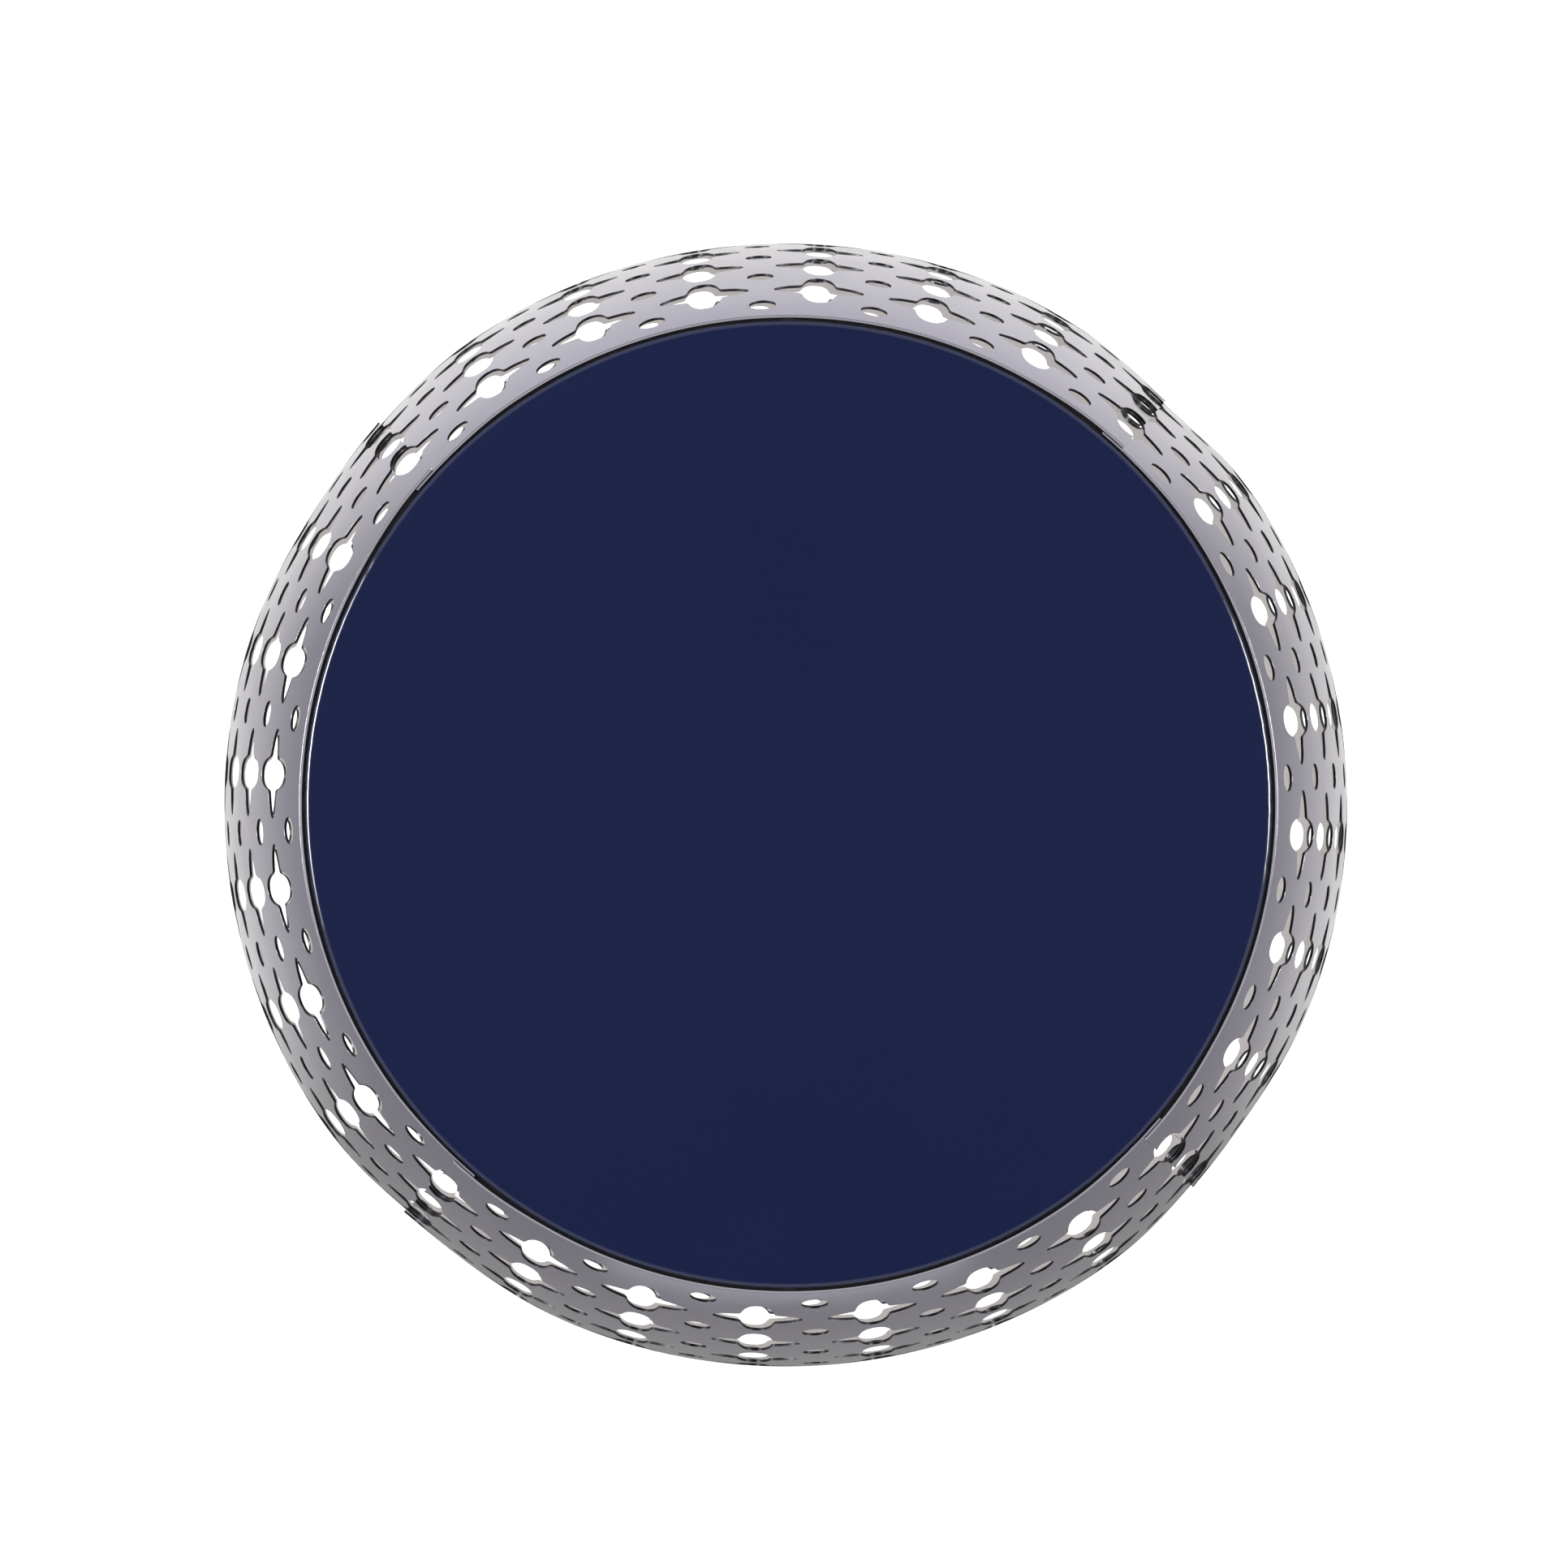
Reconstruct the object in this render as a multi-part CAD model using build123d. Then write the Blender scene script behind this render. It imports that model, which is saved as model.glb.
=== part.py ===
from build123d import *
from math import asin, cos, radians, sin, sqrt
import os

# Barrel-shaped drum side table: a pierced sheet-metal shell of four lapped panels,
# with an enamelled disc top that drops into the upper opening and lifts off.
# Millimetres. +Z is up, the origin is on the floor at the centre of the base.

# Overall form
max_diameter = 500.0         # across the widest place, at mid height
total_height = 450.0         # floor to the top face of the disc
opening_radius = 201.3       # outer face of the shell at its top and bottom edges
foot_gap = 3.0               # the shell's lower edge stands this far above the floor
top_proud = 2.0              # the disc's top face stands this far above the shell's edge
sheet = 1.2                  # shell sheet thickness

# Shell panels
panel_names = ("back", "left", "front", "right")
seam_angle = 46.8            # first visible seam, counter-clockwise from +X
lap_angle = 3.0              # how far each panel runs on beneath its neighbour
lap_shift = 1.02             # sideways set of each panel, so that the laps ride over each other

# Piercing: large four-lobed holes, with small round holes between them
columns = 28                 # columns of large holes round the barrel
first_column = 1.2           # first column of a panel, in degrees past its leading edge
row_pitch = 42.8             # along the curved wall
pattern_rise = 1.5           # the middle of the rows is this far above mid height
girth_lobe = (37.6, 12.8)    # length round the barrel and width of a large hole's level lobes
upright_lobe = (36.4, 14.6)  # length up the wall and width of its upright lobes
dot_diameter = 11.2
large_rows = 10
dot_rows = 11
cutter_reach = 3.6           # a piercing cutter runs this far to either side of the sheet's middle

# Enamelled top
top_gap = 0.4                # least gap between the disc's rim and the shell
top_sheet = 1.2
rim_depth = 8.0
rim_bend = 2.5               # outer radius of the turned-down edge
core_thickness = 6.0
glue_gap = 0.2               # between the core and the skin

# Hoops, pads and feet
hoop_gap = 0.4               # weld gap between a hoop and the shell's tightest place
ledge_width = 21.0
ledge_thickness = 2.0
pad_diameter = 10.0
pad_height = 1.0
pad_count = 8
pad_inset = 3.3              # the pads' centres are this far inside the top's rim
pad_clearance = 0.3          # the lifting top is clear of its pads by this
base_width = 22.0
base_thickness = 2.5
base_upstand = 4.5
upstand_thickness = 2.0
base_lift = 1.5              # the base hoop's underside above the shell's lower edge
foot_count = 6
foot_diameter = 18.0
foot_round = 1.2
foot_inset = 2.0             # the feet's circle is this far inside the base hoop's middle line
foot_recess = (9.0, 2.4)     # diameter and depth of the recess for the screw's head
bolt_diameter = 4.0
bolt_clearance = 0.2         # radial, in the foot and the base hoop
drill_reach = 10.0           # a bolt-hole cutter runs this far up and down
bolt_head = (8.0, 2.0)
nut_across_flats = 7.0
nut_height = 3.2
nut_clearance = 0.05         # radial, between the nut and the bolt
bolt_beyond_nut = 1.0

# Worked-out places
max_radius = max_diameter / 2
half_height = (total_height - top_proud - foot_gap) / 2
mid_height = foot_gap + half_height
shell_top = mid_height + half_height
bulge = max_radius - opening_radius
wall_radius = (bulge**2 + half_height**2) / (2 * bulge)
edge_lean = asin(half_height / wall_radius)
lap_step = lap_shift / sqrt(2)         # how far a panel's two edges stand out and tuck in
column_pitch = 360 / columns
panel_span = 360 / len(panel_names)


def ring_face(points):
    """A closed outline of (radius, height) points on the XZ plane."""
    return make_face(Polyline(*[(radius, 0, height) for radius, height in points], close=True))


def turned(face):
    return revolve(face, Axis.Z, 360)


def wall_point(arc_length, inset=0.0):
    """Radius and height of the wall's section at an arc length from mid height."""
    lean = arc_length / wall_radius
    reach = wall_radius - inset
    return max_radius - wall_radius + reach * cos(lean), mid_height + reach * sin(lean)


def inner_radius(height):
    """Least inner radius of the lapped shell at a height."""
    reach = wall_radius - sheet
    round_wall = max_radius - wall_radius + sqrt(reach**2 - (height - mid_height)**2)
    return round_wall - lap_step


def wall_section():
    end = edge_lean * wall_radius
    outer = [wall_point(arc) for arc in (-end, 0, end)]
    inner = [wall_point(arc, sheet) for arc in (end, 0, -end)]
    outer = [(radius, 0, height) for radius, height in outer]
    inner = [(radius, 0, height) for radius, height in inner]
    return make_face([
        ThreePointArc(*outer),
        Line(outer[-1], inner[0]),
        ThreePointArc(*inner),
        Line(inner[-1], outer[0]),
    ])


def wall_plane(angle, arc_length):
    """A plane on the wall, with its normal outward and its x axis along the barrel's girth."""
    turn = radians(angle)
    lean = arc_length / wall_radius
    radius, height = wall_point(arc_length, sheet / 2)
    return Plane(
        origin=(radius * cos(turn), radius * sin(turn), height),
        x_dir=(-sin(turn), cos(turn), 0),
        z_dir=(cos(lean) * cos(turn), cos(lean) * sin(turn), sin(lean)),
    )


def large_hole():
    outline = Ellipse(girth_lobe[0] / 2, girth_lobe[1] / 2)
    outline += Ellipse(upright_lobe[1] / 2, upright_lobe[0] / 2)
    return extrude(outline, cutter_reach, both=True)


def dot_hole():
    return Cylinder(dot_diameter / 2, 2 * cutter_reach)


def pierced_rows(count):
    """Arc lengths of evenly pitched rows, centred a little above mid height."""
    return [(row - (count - 1) / 2) * row_pitch + pattern_rise for row in range(count)]


def pierced_panel():
    """One panel with its leading edge at angle 0, shifted so that this edge stands proud."""
    wall = revolve(wall_section(), Axis.Z, panel_span + lap_angle)
    large, dot = large_hole(), dot_hole()
    per_panel = columns // len(panel_names)
    cutters = []
    for column in range(per_panel + 1):
        angle = first_column + column * column_pitch
        for arc_length in pierced_rows(large_rows):
            cutters.append(wall_plane(angle, arc_length) * large)
    for column in range(per_panel):
        angle = first_column + (column + 0.5) * column_pitch
        for arc_length in pierced_rows(dot_rows):
            cutters.append(wall_plane(angle, arc_length) * dot)
    return Pos(lap_step, -lap_step, 0) * (wall - cutters)


# Top: enamelled steel skin with a turned-down rim, over a fibreboard core
top_radius = inner_radius(shell_top - sheet * sin(edge_lean)) - top_gap
rim_foot = total_height - rim_depth


def skin_outline(inset):
    """Centre line end, flat, bend and rim of the skin, at an inset from its outer face."""
    flat_height = total_height - inset
    bend_start = top_radius - rim_bend
    rim_radius = top_radius - inset
    middle = (rim_bend - inset) / sqrt(2)
    return (
        (0, 0, flat_height),
        (bend_start, 0, flat_height),
        (bend_start + middle, 0, total_height - rim_bend + middle),
        (rim_radius, 0, total_height - rim_bend),
        (rim_radius, 0, rim_foot),
    )


def top_skin():
    outer, inner = skin_outline(0), skin_outline(top_sheet)
    return turned(make_face([
        Line(outer[0], outer[1]),
        ThreePointArc(outer[1], outer[2], outer[3]),
        Line(outer[3], outer[4]),
        Line(outer[4], inner[4]),
        Line(inner[4], inner[3]),
        ThreePointArc(inner[3], inner[2], inner[1]),
        Line(inner[1], inner[0]),
        Line(inner[0], outer[0]),
    ]))


def top_core():
    radius = top_radius - top_sheet - glue_gap
    upper = total_height - top_sheet - glue_gap
    lower = upper - core_thickness
    return turned(ring_face([
        (0, lower),
        (radius, lower),
        (radius, upper - rim_bend),
        (radius - rim_bend, upper),
        (0, upper),
    ]))


# Ledge hoop and its pads, just under the top's rim, level with the upper edge of the highest dots
pad_top = rim_foot - pad_clearance
ledge_top = pad_top - pad_height
ledge_outer = inner_radius(ledge_top) - hoop_gap


def ledge_hoop():
    lower = ledge_top - ledge_thickness
    return turned(ring_face([
        (ledge_outer - ledge_width, lower),
        (inner_radius(lower) - hoop_gap, lower),
        (ledge_outer, ledge_top),
        (ledge_outer - ledge_width, ledge_top),
    ]))


def rest_pads():
    pad = Pos(0, 0, ledge_top) * Cylinder(
        pad_diameter / 2, pad_height, align=(Align.CENTER, Align.CENTER, Align.MIN)
    )
    return Compound(children=list(PolarLocations(top_radius - pad_inset, pad_count) * pad))


# Base hoop, bolted feet
base_lower = foot_gap + base_lift
base_upper = base_lower + base_thickness
foot_circle = inner_radius(base_lower) - base_width / 2 - foot_inset


def bolt_hole():
    return Cylinder(bolt_diameter / 2 + bolt_clearance, 2 * drill_reach)


def base_hoop():
    upstand_top = base_upper + base_upstand
    outer_foot = inner_radius(base_lower) - hoop_gap
    outer_head = inner_radius(upstand_top) - hoop_gap
    hoop = turned(ring_face([
        (outer_foot - base_width, base_lower),
        (outer_foot, base_lower),
        (outer_head, upstand_top),
        (outer_head - upstand_thickness, upstand_top),
        (outer_foot - upstand_thickness, base_upper),
        (outer_foot - base_width, base_upper),
    ]))
    return hoop - PolarLocations(foot_circle, foot_count) * bolt_hole()


def on_foot_circle(piece):
    return Compound(children=list(PolarLocations(foot_circle, foot_count) * piece))


def foot():
    body = Cylinder(
        foot_diameter / 2, base_lower, align=(Align.CENTER, Align.CENTER, Align.MIN)
    )
    body = fillet(body.edges().sort_by(Axis.Z)[0], foot_round)
    recess = Cylinder(
        foot_recess[0] / 2, foot_recess[1], align=(Align.CENTER, Align.CENTER, Align.MIN)
    )
    return body - recess - bolt_hole()


def bolt():
    head_top = foot_recess[1]
    head = Pos(0, 0, head_top - bolt_head[1]) * Cylinder(
        bolt_head[0] / 2, bolt_head[1], align=(Align.CENTER, Align.CENTER, Align.MIN)
    )
    head = fillet(head.edges().sort_by(Axis.Z)[0], bolt_head[1] / 2)
    length = base_upper + nut_height + bolt_beyond_nut - head_top
    shank = Pos(0, 0, head_top) * Cylinder(
        bolt_diameter / 2, length, align=(Align.CENTER, Align.CENTER, Align.MIN)
    )
    return head + shank


def nut():
    outline = RegularPolygon(nut_across_flats / 2, 6, major_radius=False)
    outline -= Circle(bolt_diameter / 2 + nut_clearance)
    return Pos(0, 0, base_upper) * extrude(outline, nut_height)


os.makedirs("parts", exist_ok=True)

panel = pierced_panel()
for index, name in enumerate(panel_names):
    turned_panel = Rot(0, 0, seam_angle + index * panel_span) * panel
    export_step(turned_panel, f"parts/{name}_panel.step", write_pcurves=False)

nodes = {
    "top_skin": top_skin(),
    "top_core": top_core(),
    "ledge_hoop": ledge_hoop(),
    "rest_pads": rest_pads(),
    "base_hoop": base_hoop(),
    "feet": on_foot_circle(foot()),
    "foot_bolts": on_foot_circle(bolt()),
    "foot_nuts": on_foot_circle(nut()),
}
for name, shape in nodes.items():
    export_step(shape, f"parts/{name}.step")
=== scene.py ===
import math

import bmesh
import bpy
import numpy as np
from mathutils import Matrix, Vector


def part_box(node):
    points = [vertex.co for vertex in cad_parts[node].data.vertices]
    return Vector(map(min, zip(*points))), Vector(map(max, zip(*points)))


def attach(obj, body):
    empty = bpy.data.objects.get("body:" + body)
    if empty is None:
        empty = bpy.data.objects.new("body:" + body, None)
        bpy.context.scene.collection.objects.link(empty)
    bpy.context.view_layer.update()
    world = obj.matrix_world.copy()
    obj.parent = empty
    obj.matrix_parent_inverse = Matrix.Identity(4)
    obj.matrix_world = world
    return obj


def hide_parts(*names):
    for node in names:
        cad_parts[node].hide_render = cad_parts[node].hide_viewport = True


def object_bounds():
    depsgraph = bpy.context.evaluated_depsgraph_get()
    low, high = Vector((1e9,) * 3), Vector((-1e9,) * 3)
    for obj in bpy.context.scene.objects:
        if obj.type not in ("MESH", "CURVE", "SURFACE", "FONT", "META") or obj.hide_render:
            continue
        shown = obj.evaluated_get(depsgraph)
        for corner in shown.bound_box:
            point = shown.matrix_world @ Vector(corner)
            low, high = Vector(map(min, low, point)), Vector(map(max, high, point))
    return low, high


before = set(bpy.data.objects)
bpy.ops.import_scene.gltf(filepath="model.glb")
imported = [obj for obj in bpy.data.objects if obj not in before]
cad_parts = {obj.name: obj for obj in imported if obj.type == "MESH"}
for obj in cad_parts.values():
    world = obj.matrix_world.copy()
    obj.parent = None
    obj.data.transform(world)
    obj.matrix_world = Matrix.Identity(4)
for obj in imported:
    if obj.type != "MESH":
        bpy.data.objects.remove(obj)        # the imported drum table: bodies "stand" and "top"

CAD_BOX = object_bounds()
MM = 0.001

# ---------------------------------------------------------------- sizes, in metres

# Barrel shell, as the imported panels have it
SHEET = 1.2 * MM
OPENING_RADIUS = 201.3 * MM
SEAM_ANGLE = math.radians(46.8)
LAP_ANGLE = math.radians(3.0)
PANELS = ("back", "left", "front", "right")
SHELL_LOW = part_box("back_panel")[0].z
SHELL_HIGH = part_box("back_panel")[1].z
MID_HEIGHT = (SHELL_LOW + SHELL_HIGH) / 2
HALF_HEIGHT = (SHELL_HIGH - SHELL_LOW) / 2
MAX_RADIUS = (CAD_BOX[1].x - CAD_BOX[0].x) / 2
BULGE = MAX_RADIUS - OPENING_RADIUS
WALL_RADIUS = (BULGE**2 + HALF_HEIGHT**2) / (2 * BULGE)
EDGE_ARC = WALL_RADIUS * math.asin(HALF_HEIGHT / WALL_RADIUS)

# Hand fitting of the panels: each runs over the next at its leading edge and under it at its tail
LEAD_RISE = 0.70 * MM
TAIL_TUCK = 0.75 * MM
LAP_HOLD = math.radians(3.4)     # the rise or tuck is full this far from the edge, then fades
LAP_FADE = math.radians(11)
# Flats that the seams leave in the round: angle past the seam, depth at mid height, spread
SEAM_FLATS = (
    (math.radians(0.5), 4.0 * MM, math.radians(8.5)),
    (math.radians(8.0), 2.9 * MM, math.radians(13)),
    (math.radians(4.0), 2.9 * MM, math.radians(9)),
    (math.radians(6.0), 3.0 * MM, math.radians(10)),
)

# Piercing
COLUMNS = 28
COLUMN_PITCH = 2 * math.pi / COLUMNS
FIRST_COLUMN = math.radians(1.2)
ROW_PITCH = 42.8 * MM
LARGE_ROWS = 10
PATTERN_RISE = 1.5 * MM                  # the middle of the rows is this far above mid height
GIRTH_LOBE = (18.8 * MM, 6.4 * MM)       # half length and half width of the level lobes
UPRIGHT_LOBE = (18.2 * MM, 7.3 * MM)
LOBE_SQUARENESS = 2.3
LOBE_BLEND = 12                          # higher makes the inner corners sharper
DOT_RADIUS = 5.6 * MM

# Mesh density
OUTLINE_SAMPLES = 2001                   # along a quarter of a large hole, before it is thinned out
QUADRANT_STEPS = 20                      # points round a quarter of a cell
DOT_STEPS = 7                            # points round a quarter of a small hole
CELL_LAYERS = 3
CELL_JOIN = 0.01 * MM                    # points of neighbouring cells this close are one
EDGE_JOIN = 0.25 * MM                    # and so are points this close once the edges are cut
CUT_TOLERANCE = 1e-7
RIM_TOLERANCE = 0.05 * MM
EDGE_ROUND = 0.16 * MM
EDGE_ROUND_FROM = math.radians(50)       # only edges sharper than this are eased
EDGE_ROUND_STEPS = 2

# Enamelled top
TOP_LOW, TOP_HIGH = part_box("top_skin")
TOP_RADIUS = TOP_HIGH.x
TOP_SHEET = 1.2 * MM
RIM_BEND = 2.5 * MM
RIM_BEADS = 0.055 * MM                   # small dents along the rolled rim
RIM_OUT_OF_ROUND = 0.12 * MM
RIM_HEIGHT_SHARE = 0.6                   # how much of a dent also lowers the rim
RIM_HEM = 0.25 * MM                      # easing of the rim's lower edge
RIM_STRAIGHT = 2 * MM                    # height above the lower edge of an extra ring of points
FLAT_RADII = (0.05, 0.10, 0.14, 0.17, 0.188)
RIM_STEPS = 720
BEND_STEPS = 8


# ---------------------------------------------------------------- small helpers

def new_object(name, mesh):
    piece = bpy.data.objects.new(name, mesh)
    bpy.context.scene.collection.objects.link(piece)
    return piece


def apply_modifiers(piece):
    """Replaces the piece's mesh with the evaluated one."""
    graph = bpy.context.evaluated_depsgraph_get()
    done = bpy.data.meshes.new_from_object(piece.evaluated_get(graph))
    piece.modifiers.clear()
    piece.data = done


def set_inputs(node, **values):
    for name, value in values.items():
        node.inputs[name.replace("_", " ")].default_value = value


# ---------------------------------------------------------------- shell panels

def wall_radius_at(arc):
    return MAX_RADIUS - WALL_RADIUS + WALL_RADIUS * np.cos(arc / WALL_RADIUS)


def large_hole_quadrant():
    """Points from the level lobe's tip to the upright lobe's tip, closer together where it bends."""
    turn = np.linspace(0, math.pi / 2, OUTLINE_SAMPLES)
    level = ((np.cos(turn) / GIRTH_LOBE[0])**2 + (np.sin(turn) / GIRTH_LOBE[1])**2)**-0.5
    power = LOBE_SQUARENESS
    upright = (np.cos(turn) / UPRIGHT_LOBE[1])**power + (np.sin(turn) / UPRIGHT_LOBE[0])**power
    upright = upright**(-1 / power)
    reach = (level**LOBE_BLEND + upright**LOBE_BLEND)**(1 / LOBE_BLEND)
    points = np.stack([reach * np.cos(turn), reach * np.sin(turn)], 1)
    step = np.diff(points, axis=0)
    heading = np.unwrap(np.arctan2(step[:, 1], step[:, 0]))
    bend = np.abs(np.gradient(heading))
    weight = np.hypot(step[:, 0], step[:, 1]) / (2 * GIRTH_LOBE[0]) + bend / math.pi
    along = np.concatenate([[0], np.cumsum(weight)])
    wanted = np.linspace(0, along[-1], QUADRANT_STEPS + 1)
    return np.stack([np.interp(wanted, along, points[:, axis]) for axis in (0, 1)], 1)


def all_quadrants(quarter):
    """A closed outline from its first quadrant, counter-clockwise."""
    right_up = quarter[:-1]
    up_left = quarter[:0:-1] * (-1, 1)
    left_down = -quarter[:-1]
    down_right = quarter[:0:-1] * (1, -1)
    return np.concatenate([right_up, up_left, left_down, down_right])


def cell_quadrant(middle_arc, side):
    """The cell's outer edge in its first quadrant, as (angle, arc) offsets, round the corner dot.

    side is 1 for the half of the cell above middle_arc and -1 for the half below it."""
    half_pitch, half_row = COLUMN_PITCH / 2, ROW_PITCH / 2
    dot_turn = np.linspace(-math.pi / 2, -math.pi, DOT_STEPS + 1)
    dot_up = half_row + DOT_RADIUS * np.sin(dot_turn)
    radius = wall_radius_at(middle_arc + side * dot_up)
    dot_round = half_pitch + DOT_RADIUS * np.cos(dot_turn) / radius
    side_steps = (QUADRANT_STEPS - DOT_STEPS) // 2
    top_steps = QUADRANT_STEPS - DOT_STEPS - side_steps
    side_up = np.linspace(0, dot_up[0], side_steps + 1)[:-1]
    top_round = np.linspace(dot_round[-1], 0, top_steps + 1)[1:]
    angles = np.concatenate([np.full(side_steps, half_pitch), dot_round, top_round])
    arcs = np.concatenate([side_up, dot_up, np.full(top_steps, half_row)])
    return np.stack([angles, arcs], 1)


def large_cell(column_angle, row_arc):
    """Rings of (angle, arc) points from the large hole's edge out to the cell's edge."""
    hole = all_quadrants(large_hole_quadrant())
    inner = np.stack([hole[:, 0] / wall_radius_at(row_arc + hole[:, 1]), hole[:, 1]], 1)
    upper, lower = cell_quadrant(row_arc, 1), cell_quadrant(row_arc, -1)
    outer = np.concatenate([
        upper[:-1],
        upper[:0:-1] * (-1, 1),
        -lower[:-1],
        lower[:0:-1] * (1, -1),
    ])
    shares = np.linspace(0, 1, CELL_LAYERS + 1)
    rings = [inner + (outer - inner) * share for share in shares]
    return np.array(rings) + (column_angle, row_arc)


def end_strip(column_angle, side):
    """Rings of points from the last row of dots out to the shell's edge, above (1) or below (-1)."""
    row_arc = side * LARGE_ROWS / 2 * ROW_PITCH + PATTERN_RISE
    half_pitch = COLUMN_PITCH / 2
    dot_turn = np.linspace(math.pi / 2, 0, DOT_STEPS + 1)
    dot_up = DOT_RADIUS * np.sin(dot_turn)
    radius = wall_radius_at(row_arc + side * dot_up)
    dot_round = -half_pitch + DOT_RADIUS * np.cos(dot_turn) / radius
    top_steps = QUADRANT_STEPS - DOT_STEPS - (QUADRANT_STEPS - DOT_STEPS) // 2
    level = np.linspace(dot_round[-1], 0, top_steps + 1)[1:]
    left = np.stack([
        np.concatenate([dot_round, level]),
        np.concatenate([dot_up, np.zeros(top_steps)]),
    ], 1)
    near = np.concatenate([left, left[-2::-1] * (-1, 1)])
    far_arc = EDGE_ARC - side * row_arc
    far_round = np.linspace(-half_pitch, half_pitch, len(near))
    far = np.stack([far_round, np.full(len(near), far_arc)], 1)
    shares = np.linspace(0, 1, CELL_LAYERS + 1)
    rings = [near + (far - near) * share for share in shares]
    return np.array(rings) * (1, side) + (column_angle, row_arc)


def add_rings(sheet, rings, closed):
    """Adds rings of points to the flat sheet, joined by quads. Its x is angle times radius."""
    rows = [
        [sheet.verts.new((angle * MAX_RADIUS, arc, 0)) for angle, arc in ring]
        for ring in rings
    ]
    count = len(rows[0])
    for near, far in zip(rows, rows[1:]):
        for index in range(count if closed else count - 1):
            after = (index + 1) % count
            sheet.faces.new((near[index], far[index], far[after], near[after]))


def flat_panel():
    """One panel as a flat pierced sheet in (girth, arc) coordinates, cut to its two edges."""
    sheet = bmesh.new()
    per_panel = COLUMNS // len(PANELS)
    for column in range(per_panel + 1):
        angle = FIRST_COLUMN + column * COLUMN_PITCH
        for row in range(LARGE_ROWS):
            row_arc = (row - (LARGE_ROWS - 1) / 2) * ROW_PITCH + PATTERN_RISE
            add_rings(sheet, large_cell(angle, row_arc), True)
        for side in (-1, 1):
            add_rings(sheet, end_strip(angle, side), False)
    bmesh.ops.remove_doubles(sheet, verts=sheet.verts, dist=CELL_JOIN)
    span = 2 * math.pi / len(PANELS) + LAP_ANGLE
    for edge, outward in ((0.0, -1), (span * MAX_RADIUS, 1)):
        everything = sheet.verts[:] + sheet.edges[:] + sheet.faces[:]
        bmesh.ops.bisect_plane(
            sheet, geom=everything, dist=CUT_TOLERANCE, clear_outer=True,
            plane_co=(edge, 0, 0), plane_no=(outward, 0, 0),
        )
    bmesh.ops.remove_doubles(sheet, verts=sheet.verts, dist=EDGE_JOIN)
    bmesh.ops.recalc_face_normals(sheet, faces=sheet.faces)
    if sum(face.normal.z for face in sheet.faces) < 0:
        bmesh.ops.reverse_faces(sheet, faces=sheet.faces)
    return sheet


def seam_flats(azimuth, arc):
    """How far the wall falls inside the round barrel beside its seams, most at mid height."""
    depth = np.zeros_like(azimuth)
    for index, (past_seam, most, spread) in enumerate(SEAM_FLATS):
        centre = SEAM_ANGLE + index * math.pi / 2 + past_seam
        away = (azimuth - centre + math.pi) % (2 * math.pi) - math.pi
        depth += most * np.exp(-(away / spread)**2)
    return depth * np.cos(arc / EDGE_ARC * math.pi / 2)


def smooth_step(value, low, high):
    share = np.clip((value - low) / (high - low), 0, 1)
    return share * share * (3 - 2 * share)


def lap_ride(angle):
    """How far a panel stands out at its leading edge, and in at its tail."""
    from_tail = math.pi / 2 + LAP_ANGLE - angle
    rise = 1 - smooth_step(angle, LAP_HOLD, LAP_HOLD + LAP_FADE)
    tuck = 1 - smooth_step(from_tail, LAP_HOLD, LAP_HOLD + LAP_FADE)
    return LEAD_RISE * rise - TAIL_TUCK * tuck


def on_wall(flat, depth, turn):
    """Points on the barrel at a depth below its outer face, for a panel whose seam is at turn."""
    angle, arc = flat[:, 0] / MAX_RADIUS, flat[:, 1]
    lean = arc / WALL_RADIUS
    reach = WALL_RADIUS - depth
    radius = MAX_RADIUS - WALL_RADIUS + reach * np.cos(lean)
    radius += lap_ride(angle) - seam_flats(angle + turn, arc)
    return np.stack([
        radius * np.cos(angle + turn),
        radius * np.sin(angle + turn),
        MID_HEIGHT + reach * np.sin(lean),
    ], 1)


OUTER_FACE, INNER_FACE, CUT_EDGE = range(3)


def panel_piece(name, sheet, turn):
    """The flat sheet bent to the barrel and given its thickness, with its edges eased."""
    sheet.verts.ensure_lookup_table()
    sheet.verts.index_update()
    flat = np.array([vert.co[:] for vert in sheet.verts])
    count = len(flat)
    points = np.concatenate([on_wall(flat, 0.0, turn), on_wall(flat, SHEET, turn)])
    faces, finishes = [], []
    for face in sheet.faces:
        corners = [vert.index for vert in face.verts]
        faces += [corners, [count + corner for corner in reversed(corners)]]
        finishes += [OUTER_FACE, INNER_FACE]
    for edge in sheet.edges:
        if edge.is_boundary:
            loop = edge.link_loops[0]
            start, end = loop.vert.index, loop.link_loop_next.vert.index
            faces.append([end, start, count + start, count + end])
            on_rim = all(abs(vert.co.y) > EDGE_ARC - RIM_TOLERANCE for vert in edge.verts)
            finishes.append(OUTER_FACE if on_rim else CUT_EDGE)
    mesh = bpy.data.meshes.new(name)
    mesh.from_pydata(points.tolist(), [], faces)
    mesh.polygons.foreach_set("material_index", finishes)
    mesh.shade_smooth()
    piece = new_object(name, mesh)
    bevel = piece.modifiers.new("eased_edges", "BEVEL")
    bevel.limit_method = "ANGLE"
    bevel.angle_limit = EDGE_ROUND_FROM
    bevel.width = EDGE_ROUND
    bevel.segments = EDGE_ROUND_STEPS
    bevel.use_clamp_overlap = False
    bevel.harden_normals = True
    for material in (nickel, inner_nickel, painted_shade_cut_steel):
        piece.data.materials.append(material)
    apply_modifiers(piece)
    return piece


def build_shell():
    sheet = flat_panel()
    for index, side in enumerate(PANELS):
        piece = panel_piece(f"{side}_pierced_panel", sheet, SEAM_ANGLE + index * math.pi / 2)
        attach(piece, "stand")
        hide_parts(f"{side}_panel")
    sheet.free()


# ---------------------------------------------------------------- enamelled top

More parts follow.
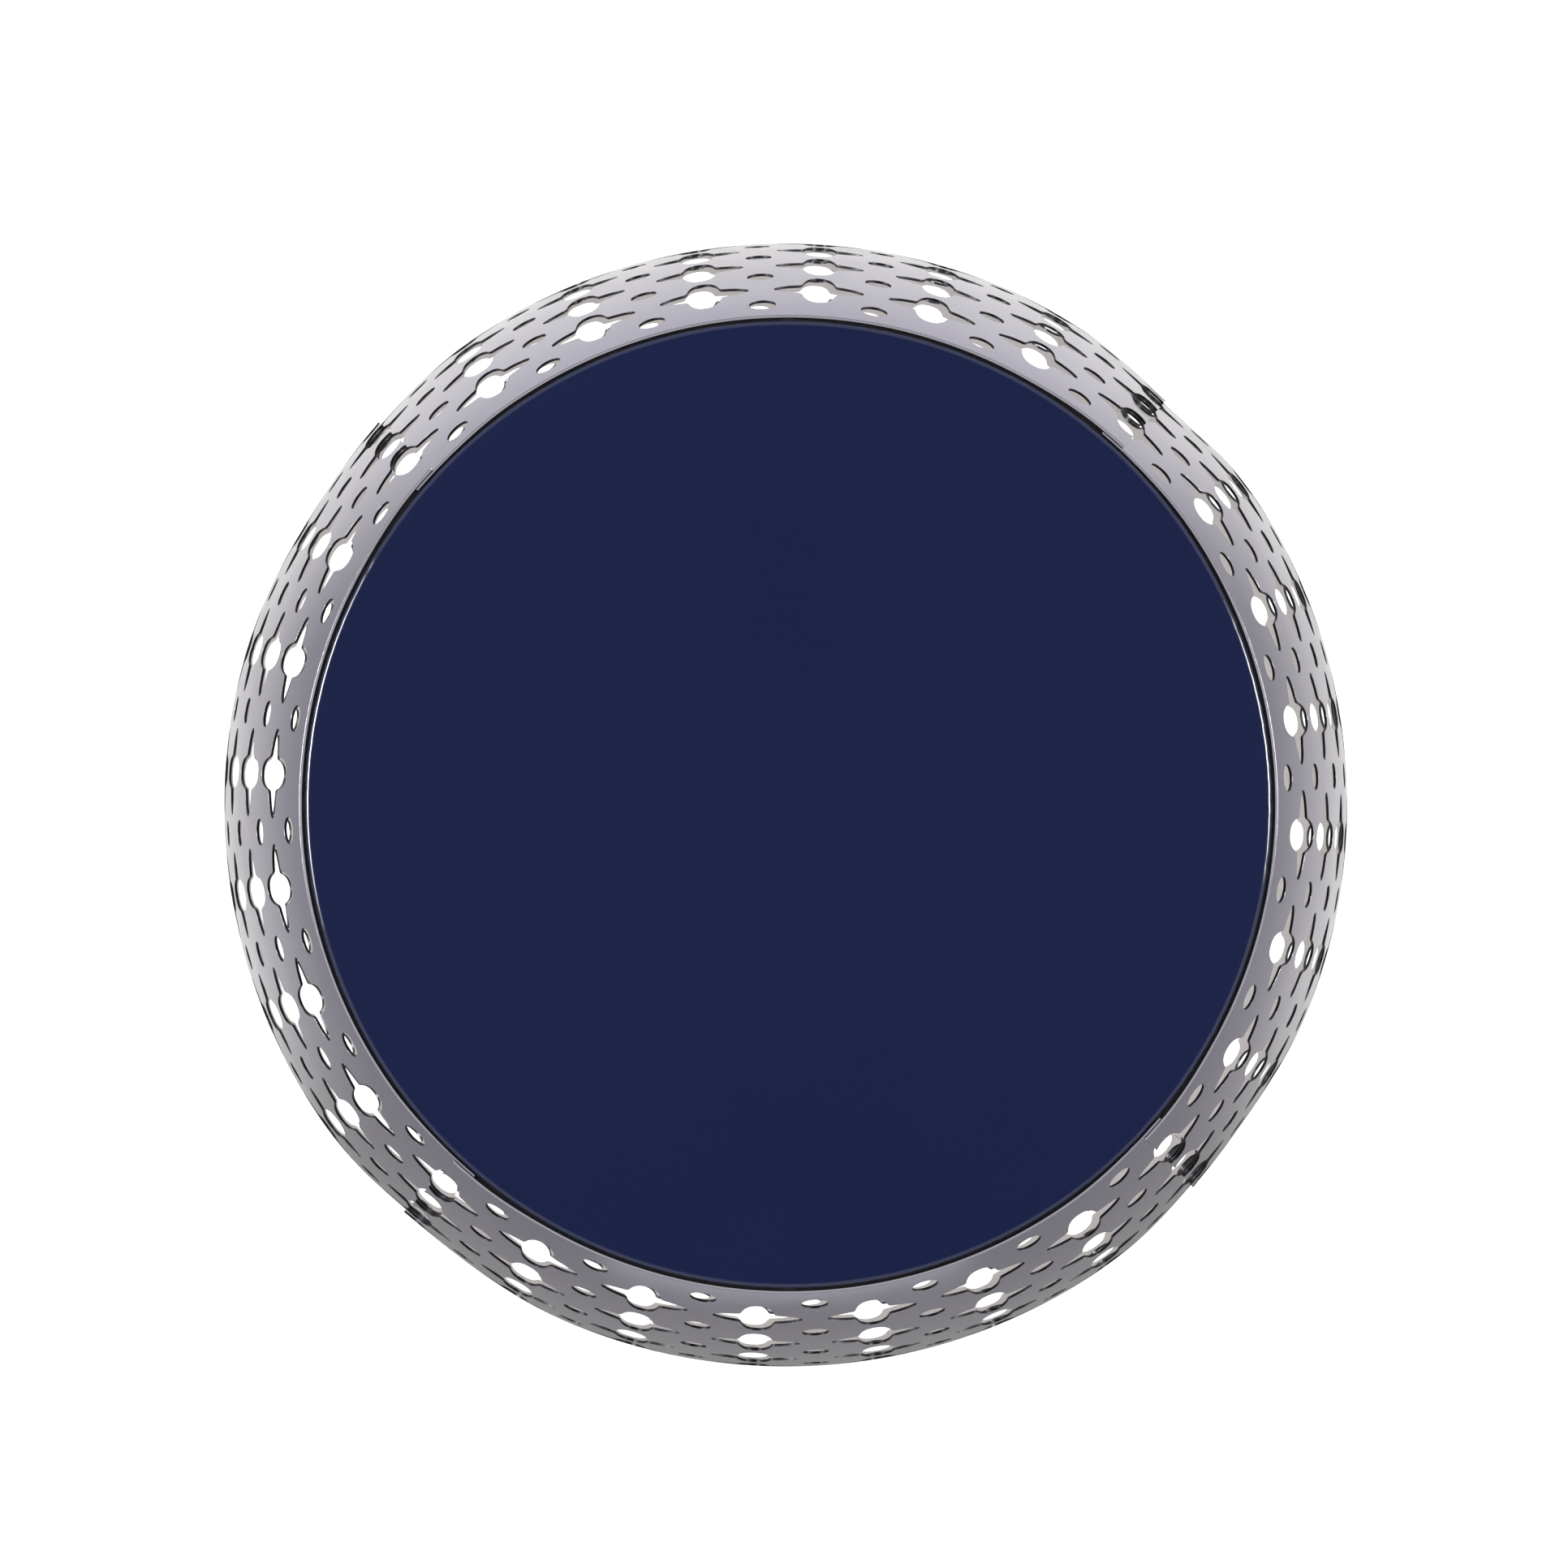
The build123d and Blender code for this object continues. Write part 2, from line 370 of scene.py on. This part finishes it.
def top_profile():
    """The skin's section as (radius, height) points, from the centre over the rim and back."""
    low, high = TOP_LOW.z, TOP_HIGH.z
    turns = np.linspace(math.pi / 2, 0, BEND_STEPS + 1)

    def bend(bend_radius):
        return [
            (
                TOP_RADIUS - RIM_BEND + bend_radius * math.cos(turn),
                high - RIM_BEND + bend_radius * math.sin(turn),
            )
            for turn in turns
        ]

    outer = [(radius, high) for radius in FLAT_RADII] + bend(RIM_BEND)
    outer += [
        (TOP_RADIUS, low + RIM_STRAIGHT),
        (TOP_RADIUS, low + RIM_HEM),
        (TOP_RADIUS - RIM_HEM, low),
    ]
    inner_radius = TOP_RADIUS - TOP_SHEET
    inner = [
        (inner_radius + RIM_HEM, low),
        (inner_radius, low + RIM_HEM),
        (inner_radius, low + RIM_STRAIGHT),
    ]
    inner += bend(RIM_BEND - TOP_SHEET)[::-1]
    inner += [(radius, high - TOP_SHEET) for radius in FLAT_RADII[::-1]]
    return outer + inner


def rim_waver(turn):
    """Small unevenness of the rolled rim, strongest on the right and at the upper left."""
    beads = np.sin(turn * 139) + 0.6 * np.sin(turn * 203 + 1.3) + 0.5 * np.sin(turn * 89 + 0.4)
    right = np.clip(np.cos(turn + 0.2), 0, 1)**2
    upper_left = np.clip(np.cos(turn - 2.75), 0, 1)**20
    where = 0.25 + 0.75 * np.maximum(right, upper_left)
    return beads * where * RIM_BEADS + RIM_OUT_OF_ROUND * np.sin(turn * 3 + 0.7)


def build_top(material):
    profile = top_profile()
    turns = np.linspace(0, 2 * math.pi, RIM_STEPS, endpoint=False)
    waver = rim_waver(turns)
    points, faces = [], []
    for radius, height in profile:
        share = max(0.0, (radius - (TOP_RADIUS - RIM_BEND)) / RIM_BEND)
        for turn, off in zip(turns, waver):
            reach = radius - abs(off) * share
            dented = height - abs(off) * share * RIM_HEIGHT_SHARE
            points.append((reach * math.cos(turn), reach * math.sin(turn), dented))
    rows = len(profile)
    for row in range(rows - 1):
        for step in range(RIM_STEPS):
            after = (step + 1) % RIM_STEPS
            here, there = row * RIM_STEPS, (row + 1) * RIM_STEPS
            faces.append((here + step, there + step, there + after, here + after))
    upper_face, lower_face = (TOP_HIGH.z, 0, False), (TOP_HIGH.z - TOP_SHEET, rows - 1, True)
    for centre_height, row, flip in (upper_face, lower_face):
        centre = len(points)
        points.append((0, 0, centre_height))
        for step in range(RIM_STEPS):
            corners = (centre, row * RIM_STEPS + step, row * RIM_STEPS + (step + 1) % RIM_STEPS)
            faces.append(corners[::-1] if flip else corners)
    mesh = bpy.data.meshes.new("enamelled_top")
    mesh.from_pydata(points, [], faces)
    mesh.shade_smooth()
    piece = new_object("enamelled_top", mesh)
    piece.data.materials.append(material)
    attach(piece, "top")
    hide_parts("top_skin")


# ---------------------------------------------------------------- materials

def new_material(name):
    material = bpy.data.materials.new(name)
    material.use_nodes = True
    tree = material.node_tree
    shader = tree.nodes["Principled BSDF"]
    place = tree.nodes.new("ShaderNodeTexCoord")
    return material, tree, shader, place.outputs["Object"]


def noise(tree, place, scale, detail=3.0, roughness=0.5, stretch=(1, 1, 1)):
    mapping = tree.nodes.new("ShaderNodeMapping")
    mapping.inputs["Scale"].default_value = stretch
    texture = tree.nodes.new("ShaderNodeTexNoise")
    texture.inputs["Scale"].default_value = scale
    texture.inputs["Detail"].default_value = detail
    texture.inputs["Roughness"].default_value = roughness
    tree.links.new(place, mapping.inputs["Vector"])
    tree.links.new(mapping.outputs["Vector"], texture.inputs["Vector"])
    return texture.outputs["Fac"]


def remap(tree, value, low, high, start=0.3, end=0.7):
    node = tree.nodes.new("ShaderNodeMapRange")
    set_inputs(node, From_Min=start, From_Max=end, To_Min=low, To_Max=high)
    tree.links.new(value, node.inputs["Value"])
    return node.outputs["Result"]


def bump(tree, shader, heights):
    """Chains bumps of (height, strength, distance) into the shader's normal."""
    normal = None
    for height, strength, distance in heights:
        node = tree.nodes.new("ShaderNodeBump")
        node.inputs["Strength"].default_value = strength
        node.inputs["Distance"].default_value = distance
        tree.links.new(height, node.inputs["Height"])
        if normal is not None:
            tree.links.new(normal, node.inputs["Normal"])
        normal = node.outputs["Normal"]
    tree.links.new(normal, shader.inputs["Normal"])


def two_colours(tree, value, low, high):
    node = tree.nodes.new("ShaderNodeMix")
    node.data_type = "RGBA"
    node.inputs["A"].default_value = (*low, 1)
    node.inputs["B"].default_value = (*high, 1)
    tree.links.new(value, node.inputs["Factor"])
    return node.outputs["Result"]


def nickel_plate(name, low, high, smooth, rough, wave):
    """Plated sheet: cloudy tint, uneven polish and the slight waves of rolled sheet."""
    material, tree, shader, place = new_material(name)
    set_inputs(shader, Metallic=1.0)
    cloud = noise(tree, place, 9.0, 2.0)
    tint = two_colours(tree, remap(tree, cloud, 0, 1), low, high)
    tree.links.new(tint, shader.inputs["Base Color"])
    smear = noise(tree, place, 26.0, 3.0)
    tree.links.new(remap(tree, smear, smooth, rough), shader.inputs["Roughness"])
    waves = noise(tree, place, 11.0, 1.0)
    ripple = noise(tree, place, 55.0, 1.0)
    bump(tree, shader, [(waves, wave, 1.0 * MM), (ripple, wave, 0.06 * MM)])
    return material


NAVY = ((0.0053, 0.0095, 0.0445), (0.0061, 0.0107, 0.0480))


def navy_enamel():
    material, tree, shader, place = new_material("navy_enamel")
    set_inputs(shader, Roughness=0.55, Coat_Weight=1.0, Coat_Roughness=0.03, Coat_IOR=1.55)
    shader.inputs["Specular IOR Level"].default_value = 0.05
    cloud = noise(tree, place, 5.0, 2.0)
    tint = two_colours(tree, remap(tree, cloud, 0, 1), *NAVY)
    tree.links.new(tint, shader.inputs["Base Color"])
    flow = noise(tree, place, 38.0, 2.0)
    peel = noise(tree, place, 420.0, 2.0)
    bump(tree, shader, [(flow, 0.05, 0.3 * MM), (peel, 0.02, 0.05 * MM)])
    return material


def satin_steel(name, low, high, roughness):
    material, tree, shader, place = new_material(name)
    set_inputs(shader, Metallic=1.0)
    cloud = noise(tree, place, 60.0, 4.0)
    tint = two_colours(tree, remap(tree, cloud, 0, 1), low, high)
    tree.links.new(tint, shader.inputs["Base Color"])
    rolled = noise(tree, place, 900.0, 3.0, 0.6, (1, 1, 0.05))
    tree.links.new(remap(tree, rolled, roughness - 0.06, roughness + 0.08), shader.inputs["Roughness"])
    bump(tree, shader, [(rolled, 0.15, 0.04 * MM)])
    return material


def soft_rubber(name, low, high):
    material, tree, shader, place = new_material(name)
    pores = noise(tree, place, 1400.0, 3.0, 0.6)
    tint = two_colours(tree, remap(tree, pores, 0, 1), low, high)
    tree.links.new(tint, shader.inputs["Base Color"])
    tree.links.new(remap(tree, pores, 0.62, 0.82), shader.inputs["Roughness"])
    bump(tree, shader, [(pores, 0.3, 0.06 * MM)])
    return material


def fibreboard(low, high):
    """Board lacquered near black, whose fibres show through; the black is partly painted shade,
    standing in for the dark under the top that the hole walls mirror.
    """
    material, tree, shader, place = new_material("fibreboard")
    fibres = noise(tree, place, 520.0, 5.0, 0.7, (1, 0.35, 1))
    tint = two_colours(tree, remap(tree, fibres, 0, 1), low, high)
    tree.links.new(tint, shader.inputs["Base Color"])
    set_inputs(shader, Roughness=0.55)
    bump(tree, shader, [(fibres, 0.35, 0.12 * MM)])
    return material


def dress_node(node, material):
    """Gives a CAD node that stays in view its material."""
    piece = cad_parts[node]
    piece.data.materials.clear()
    piece.data.materials.append(material)


def powder_coat(low, high):
    material, tree, shader, place = new_material("hoop_coat_and_painted_shade")
    peel = noise(tree, place, 900.0, 2.0, 0.6)
    tint = two_colours(tree, remap(tree, peel, 0, 1), low, high)
    tree.links.new(tint, shader.inputs["Base Color"])
    tree.links.new(remap(tree, peel, 0.42, 0.55), shader.inputs["Roughness"])
    bump(tree, shader, [(peel, 0.25, 0.08 * MM)])
    return material


# ---------------------------------------------------------------- stage

# The floor glows softly, most under the table: its own light, by metres from the middle
FLOOR_GLOW = ((0.0, 1.0), (0.19, 1.0), (0.29, 0.42), (0.75, 0.34), (1.0, 0.2))


def floor_material():
    material, tree, shader, place = new_material("studio_floor")
    cloud = noise(tree, place, 3.0, 2.0)
    tint = two_colours(tree, remap(tree, cloud, 0, 1), (0.89, 0.89, 0.89), (0.91, 0.91, 0.91))
    tree.links.new(tint, shader.inputs["Base Color"])
    set_inputs(shader, Roughness=0.7, Emission_Color=(1, 1, 1, 1))
    reach = tree.nodes.new("ShaderNodeVectorMath")
    reach.operation = "LENGTH"
    tree.links.new(place, reach.inputs[0])
    fade = tree.nodes.new("ShaderNodeValToRGB")
    tree.links.new(reach.outputs["Value"], fade.inputs["Fac"])
    tree.links.new(fade.outputs["Color"], shader.inputs["Emission Strength"])
    fade.color_ramp.interpolation = "EASE"
    for position, level in FLOOR_GLOW[1:-1]:
        fade.color_ramp.elements.new(position)
    for stop, (position, level) in zip(fade.color_ramp.elements, FLOOR_GLOW):
        stop.position = position
        stop.color = (level, level, level, 1)
    return material


def stage_mesh(name, points, faces, material):
    mesh = bpy.data.meshes.new(name)
    mesh.from_pydata(points, [], faces)
    mesh.materials.append(material)
    piece = new_object(name, mesh)
    return piece


def only_in_reflections(piece):
    piece.visible_camera = False
    piece.visible_diffuse = False
    piece.visible_transmission = False
    piece.visible_shadow = False
    piece.visible_volume_scatter = False


def plain_shader(name, kind):
    """A material of one surface shader, and that shader."""
    material = bpy.data.materials.new(name)
    material.use_nodes = True
    tree = material.node_tree
    tree.nodes.remove(tree.nodes["Principled BSDF"])
    shader = tree.nodes.new(kind)
    tree.links.new(shader.outputs[0], tree.nodes["Material Output"].inputs["Surface"])
    return material, tree, shader


FLOOR_REACH = 6.0


def build_floor():
    half = FLOOR_REACH
    corners = [(-half, -half, 0), (half, -half, 0), (half, half, 0), (-half, half, 0)]
    stage_mesh("studio_floor", corners, [(0, 1, 2, 3)], floor_material())


# Painted reflection and painted shadow: how much of the floor's light the polished shell picks up, by
# place on the floor, set by a shade that only reflections see, in place of the table's shadow on the
# floor and the floor's falloff
SHADE_INNER, SHADE_FINE, SHADE_COARSE, SHADE_OUTER = 0.20, 0.9, 0.95, 2.4
SHADE_RINGS = (57, 8)            # out to SHADE_FINE, and from SHADE_COARSE on
SHADE_STEPS = 288
SHADE_LIFT = 0.8 * MM            # above the floor
BACK_SHARE = 0.76
SIDE_SHARE = 0.33                # far out at the sides
SIDE_REACH = (0.22, 0.68)
BACK_BEGINS = (0.3, 0.9)         # sine of the azimuth where the sides give way to the back
FAR_LOSS = 0.20                  # far out at the back
FAR_REACH = (0.50, 0.74)
FRONT_SHARE = 0.29               # in the object's own shade, in front
FRONT_SPREAD = (math.radians(48), math.radians(76))
PATCH_SHARE = 0.62               # the lit floor beyond that shade
PATCH_SPREAD = (math.radians(19), math.radians(24))
PATCH_REACH = (0.60, 0.66)
TINT_REACH = (0.30, 0.72)
NEAR_TINT = (1.0, 0.985, 0.957)
FAR_TINT = (0.985, 0.968, 1.028)


def floor_share(reach, azimuth):
    not_back = 1 - smooth_step(np.sin(azimuth), *BACK_BEGINS)
    share = BACK_SHARE + (SIDE_SHARE - BACK_SHARE) * smooth_step(reach, *SIDE_REACH) * not_back
    share *= 1 - FAR_LOSS * smooth_step(reach, *FAR_REACH) * (1 - not_back)
    off_front = np.abs((azimuth - math.radians(270) + math.pi) % (2 * math.pi) - math.pi)
    in_front = 1 - smooth_step(off_front, *FRONT_SPREAD)
    share += (FRONT_SHARE - share) * in_front
    patch = (1 - smooth_step(off_front, *PATCH_SPREAD)) * smooth_step(reach, *PATCH_REACH)
    return share + (PATCH_SHARE - share) * patch


def painted_reflection_tint(reach):
    """Red, green and blue of the painted reflection of the floor's light: neutral close by, bluer far
    out.
    """
    far = smooth_step(reach, *TINT_REACH)
    return [near + (distant - near) * far for near, distant in zip(NEAR_TINT, FAR_TINT)]


def add_share(tree, piece, values, socket):
    """Stores a value or colour per point on the piece and links it to the shader's colour."""
    attribute = piece.data.color_attributes.new("share", "FLOAT_COLOR", "POINT")
    attribute.data.foreach_set("color", values.ravel())
    share = tree.nodes.new("ShaderNodeAttribute")
    share.attribute_name = "share"
    tree.links.new(share.outputs["Color"], socket)


def build_floor_shade():
    """A painted shade over the floor that only reflections see: it darkens and tints the floor's light
    in the shell's reflections, as painted shadow and painted reflection.
    """
    inner_rings, outer_rings = SHADE_RINGS
    fine = np.linspace(SHADE_INNER, SHADE_FINE, inner_rings)
    coarse = np.linspace(SHADE_COARSE, SHADE_OUTER, outer_rings)
    reaches = np.concatenate([fine, coarse])
    turns = np.linspace(0, 2 * math.pi, SHADE_STEPS, endpoint=False)
    points, shares = [], []
    for reach in reaches:
        for turn in turns:
            points.append((reach * math.cos(turn), reach * math.sin(turn), SHADE_LIFT))
        share = floor_share(np.full_like(turns, reach), turns)
        opaque = np.ones_like(share)
        shares.append(np.stack([share * tint for tint in painted_reflection_tint(reach)] + [opaque], 1))
    count = len(turns)
    faces = []
    for row in range(len(reaches) - 1):
        for step in range(count):
            after = (step + 1) % count
            here, there = row * count, (row + 1) * count
            faces.append((here + step, there + step, there + after, here + after))
    material, tree, shader = plain_shader("floor_shade", "ShaderNodeBsdfTransparent")
    piece = stage_mesh("floor_shade", points, faces, material)
    add_share(tree, piece, np.concatenate(shares), shader.inputs["Color"])
    only_in_reflections(piece)


SOFTBOX_GRID = (25, 13)
SOFTBOX_DISTANCE = 2.0
SOFTBOX_STRENGTH = 38.0
SOFTBOX_ELEVATIONS = (13, 38)    # in degrees, as are the azimuths


def build_softbox(name, azimuths):
    """A curved softbox beside the table, bright in its middle, that only reflections see."""
    columns = np.radians(np.linspace(*azimuths, SOFTBOX_GRID[0]))
    rows = np.radians(np.linspace(*SOFTBOX_ELEVATIONS, SOFTBOX_GRID[1]))
    across = np.sin(np.linspace(0, math.pi, len(columns)))
    upward = np.sin(np.linspace(0, math.pi, len(rows)))**0.5
    points, faces, glow = [], [], []
    for row, lift in enumerate(rows):
        reach = SOFTBOX_DISTANCE * math.cos(lift)
        height = SHELL_HIGH + SOFTBOX_DISTANCE * math.sin(lift)
        for column, turn in enumerate(columns):
            points.append((reach * math.cos(turn), reach * math.sin(turn), height))
            glow.append(across[column] * upward[row])
    for row in range(len(rows) - 1):
        for column in range(len(columns) - 1):
            here = row * len(columns) + column
            faces.append((here, here + 1, here + len(columns) + 1, here + len(columns)))
    material, tree, shader = plain_shader(name, "ShaderNodeEmission")
    shader.inputs["Strength"].default_value = SOFTBOX_STRENGTH
    piece = stage_mesh(name, points, faces, material)
    glow = np.array(glow)
    add_share(tree, piece, np.stack([glow, glow, glow, np.ones_like(glow)], 1), shader.inputs["Color"])
    only_in_reflections(piece)


OVERHEAD_SIZE = 2.6
OVERHEAD_WATTS = 46
OVERHEAD_PLACE = (0, 0.25, 2.5)


def build_lights():
    """Two softboxes for the gloss, and a wide overhead light that reflections don't see."""
    build_softbox("left_softbox", (148, 196))
    build_softbox("right_softbox", (-10, 25))
    data = bpy.data.lights.new("overhead_light", "AREA")
    data.shape = "DISK"
    data.size = OVERHEAD_SIZE
    data.energy = OVERHEAD_WATTS
    lamp = bpy.data.objects.new("overhead_light", data)
    bpy.context.scene.collection.objects.link(lamp)
    lamp.location = OVERHEAD_PLACE
    lamp.visible_camera = False
    lamp.visible_glossy = False


# Room brightness by the sine of the elevation: pale at the horizon, bright band, dark overhead
ROOM = (
    (0.0, 0.85), (0.22, 0.80), (0.42, 0.50), (0.68, 0.95), (0.78, 0.60), (0.88, 0.06), (1.0, 0.03)
)
ROOM_TINT = (0.985, 0.985, 1.0)


def build_world():
    world = bpy.data.worlds.new("studio")
    bpy.context.scene.world = world
    world.use_nodes = True
    tree = world.node_tree
    place = tree.nodes.new("ShaderNodeTexCoord")
    split = tree.nodes.new("ShaderNodeSeparateXYZ")
    ramp = tree.nodes.new("ShaderNodeValToRGB")
    tree.links.new(place.outputs["Generated"], split.inputs["Vector"])
    tree.links.new(split.outputs["Z"], ramp.inputs["Fac"])
    tree.links.new(ramp.outputs["Color"], tree.nodes["Background"].inputs["Color"])
    stops = ramp.color_ramp.elements
    for position, level in ROOM[1:-1]:
        stops.new(position)
    for stop, (position, level) in zip(stops, ROOM):
        stop.position = position
        stop.color = (*(level * tint for tint in ROOM_TINT), 1)
    tree.nodes["Background"].inputs["Strength"].default_value = 1.0


# Camera: straight above, a little off the barrel's axis
CAMERA_RISE = 2.609              # above the barrel's mid height
CAMERA_OFF = (-0.0165, -0.0035)
CAMERA_AIM = (-0.0006, 0.0094)
VIEW_WIDTH = 0.7051              # at mid height


def build_camera():
    data = bpy.data.cameras.new("camera")
    camera = bpy.data.objects.new("camera", data)
    bpy.context.scene.collection.objects.link(camera)
    camera.location = (*CAMERA_OFF, MID_HEIGHT + CAMERA_RISE)
    back = (camera.location - Vector((*CAMERA_AIM, MID_HEIGHT))).normalized()
    right = Vector((0, 1, 0)).cross(back).normalized()
    camera.rotation_euler = Matrix((right, back.cross(right), back)).transposed().to_euler()
    data.angle = 2 * math.atan(VIEW_WIDTH / 2 / CAMERA_RISE)
    bpy.context.scene.camera = camera


build_camera()
nickel = nickel_plate(
    "nickel_plate", (0.400, 0.388, 0.440), (0.435, 0.423, 0.475), smooth=0.13, rough=0.22, wave=0.30
)
inner_nickel = nickel_plate(
    "inner_nickel", (0.49, 0.46, 0.45), (0.55, 0.52, 0.51), smooth=0.34, rough=0.46, wave=0.30
)
# Near black on the cut walls of the holes and the panels' side edges: painted shade for the dark these
# walls face inside the drum
painted_shade_cut_steel = satin_steel("painted_shade_cut_steel", (0.045, 0.045, 0.05), (0.085, 0.083, 0.09), 0.38)
build_shell()
build_top(navy_enamel())
# The hoops are black: partly their coat, partly painted shade, so that the hole walls mirroring them
# read dark as in the shade inside the drum
hoops_black_and_shade = powder_coat((0.018, 0.018, 0.020), (0.032, 0.032, 0.035))
zinc_steel = satin_steel("zinc_steel", (0.50, 0.51, 0.50), (0.62, 0.62, 0.60), 0.32)
dress_node("ledge_hoop", hoops_black_and_shade)
dress_node("base_hoop", hoops_black_and_shade)
dress_node("foot_bolts", zinc_steel)
dress_node("foot_nuts", zinc_steel)
dress_node("rest_pads", soft_rubber("pad_rubber", (0.035, 0.035, 0.035), (0.06, 0.06, 0.06)))
dress_node("feet", soft_rubber("foot_rubber", (0.018, 0.018, 0.018), (0.04, 0.04, 0.04)))
dress_node("top_core", fibreboard((0.014, 0.013, 0.013), (0.040, 0.036, 0.033)))
build_floor()
build_floor_shade()
build_lights()
build_world()
bpy.context.scene.view_settings.view_transform = "Standard"
